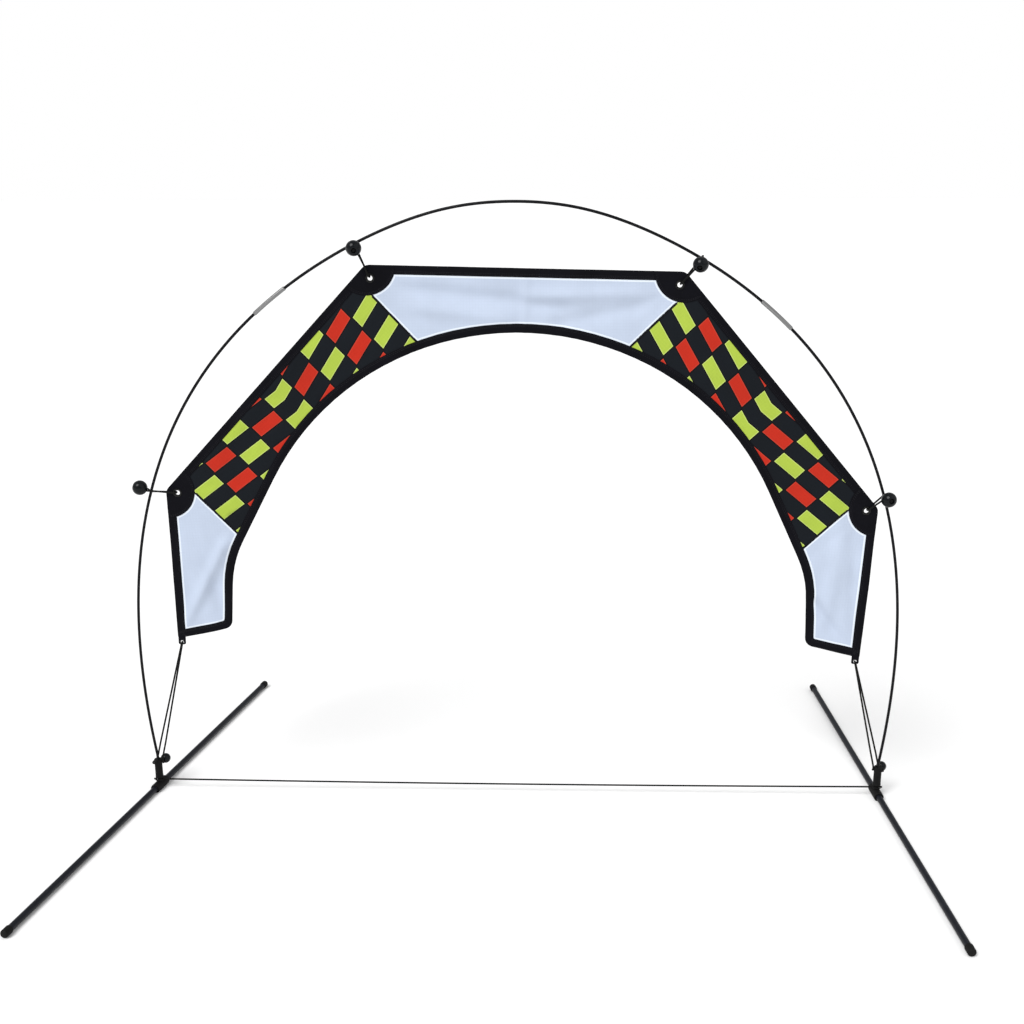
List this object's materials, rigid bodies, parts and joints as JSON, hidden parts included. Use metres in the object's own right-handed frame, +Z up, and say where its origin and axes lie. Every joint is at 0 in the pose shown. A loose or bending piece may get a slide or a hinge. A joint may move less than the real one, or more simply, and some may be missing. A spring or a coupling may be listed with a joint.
{
  "type": "flying arch gate",
  "caption": "Free-standing sprung hoop on swivelling feet, with a fabric arch hung inside it on elastics for dogs or gliders to pass through.",
  "frame": {"origin": "middle of the object's box in X and Y, on the ground", "axes": "+X to the right along the gate's width, +Y through the gate away from the person who faces it, +Z up"},
  "size_m": [1.595, 1.0474, 1.1707],
  "materials": {
    "black_rod": "glossy wrapped glass fibre",
    "ferrule_metal": "drawn tube",
    "connector_rubber": "matt moulded",
    "foot_tube": "satin pultruded",
    "cap_rubber": "matt moulded",
    "ball_plastic": "glossy",
    "elastic_cord": "braided",
    "white_fabric": "ripstop",
    "check_fabric": "printed ripstop",
    "binding_tape": "woven tape",
    "eyelet_plastic": "satin"
  },
  "bodies": {
    "gate": {"left_rod": "black_rod", "crown_rod": "black_rod", "right_rod": "black_rod", "left_ferrule": "ferrule_metal", "right_ferrule": "ferrule_metal", "ground_cord": "elastic_cord", "left_cord_loop": "elastic_cord", "right_cord_loop": "elastic_cord", "centre_panel": "white_fabric", "top_binding": "binding_tape", "arch_binding": "binding_tape", "left_check_panel": "check_fabric", "left_leg_panel": "white_fabric", "left_side_binding": "binding_tape", "left_leg_binding": "binding_tape", "left_foot_binding": "binding_tape", "left_top_patch": "binding_tape", "left_top_eyelet": "eyelet_plastic", "left_side_patch": "binding_tape", "left_side_eyelet": "eyelet_plastic", "left_tab": "binding_tape", "right_check_panel": "check_fabric", "right_leg_panel": "white_fabric", "right_side_binding": "binding_tape", "right_leg_binding": "binding_tape", "right_foot_binding": "binding_tape", "right_top_patch": "binding_tape", "right_top_eyelet": "eyelet_plastic", "right_side_patch": "binding_tape", "right_side_eyelet": "eyelet_plastic", "right_tab": "binding_tape", "left_top_elastic": "elastic_cord", "left_side_elastic": "elastic_cord", "left_base_elastic": "elastic_cord", "right_top_elastic": "elastic_cord", "right_side_elastic": "elastic_cord", "right_base_elastic": "elastic_cord"},
    "left_foot": {"left_foot_connector": "connector_rubber", "left_foot_tube": "foot_tube", "left_rear_cap": "cap_rubber", "left_front_cap": "cap_rubber"},
    "right_foot": {"right_foot_connector": "connector_rubber", "right_foot_tube": "foot_tube", "right_rear_cap": "cap_rubber", "right_front_cap": "cap_rubber"},
    "left_top_toggle": {"left_top_ball": "ball_plastic", "left_top_knot": "elastic_cord"},
    "left_side_toggle": {"left_side_ball": "ball_plastic", "left_side_knot": "elastic_cord"},
    "left_base_toggle": {"left_base_ball": "ball_plastic", "left_base_knot": "elastic_cord"},
    "right_top_toggle": {"right_top_ball": "ball_plastic", "right_top_knot": "elastic_cord"},
    "right_side_toggle": {"right_side_ball": "ball_plastic", "right_side_knot": "elastic_cord"},
    "right_base_toggle": {"right_base_ball": "ball_plastic", "right_base_knot": "elastic_cord"}
  },
  "joints": [
    {"name": "left_foot_swivel", "type": "hinge", "parent": "gate", "child": "left_foot", "pos_m": [-0.69012, 0, 0.044], "axis": [0, 0, 1], "range_deg": [-78.9, 101.1]},
    {"name": "right_foot_swivel", "type": "hinge", "parent": "gate", "child": "right_foot", "pos_m": [0.77187, 0, 0.044], "axis": [0, 0, 1], "range_deg": [-92, 88]},
    {"name": "left_top_pull", "type": "slide", "parent": "gate", "child": "left_top_toggle", "axis": [0.1456, -0.9455, -0.2912], "range_m": [0, 0.025], "stiffness_N_per_m": 150, "springref_m": -0.01},
    {"name": "left_side_pull", "type": "slide", "parent": "gate", "child": "left_side_toggle", "axis": [-0.9467, -0.0872, 0.3101], "range_m": [0, 0.025], "stiffness_N_per_m": 150, "springref_m": -0.01},
    {"name": "left_base_pull", "type": "slide", "parent": "gate", "child": "left_base_toggle", "axis": [0.3681, 0.9298, 0], "range_m": [0, 0.025], "stiffness_N_per_m": 150, "springref_m": -0.01},
    {"name": "right_top_pull", "type": "slide", "parent": "gate", "child": "right_top_toggle", "axis": [-0.2278, -0.891, -0.3927], "range_m": [0, 0.025], "stiffness_N_per_m": 150, "springref_m": -0.01},
    {"name": "right_side_pull", "type": "slide", "parent": "gate", "child": "right_side_toggle", "axis": [0.1326, -0.9903, 0.0423], "range_m": [0, 0.025], "stiffness_N_per_m": 150, "springref_m": -0.01},
    {"name": "right_base_pull", "type": "slide", "parent": "gate", "child": "right_base_toggle", "axis": [0.521, 0.8536, 0], "range_m": [0, 0.025], "stiffness_N_per_m": 150, "springref_m": -0.01}
  ]
}
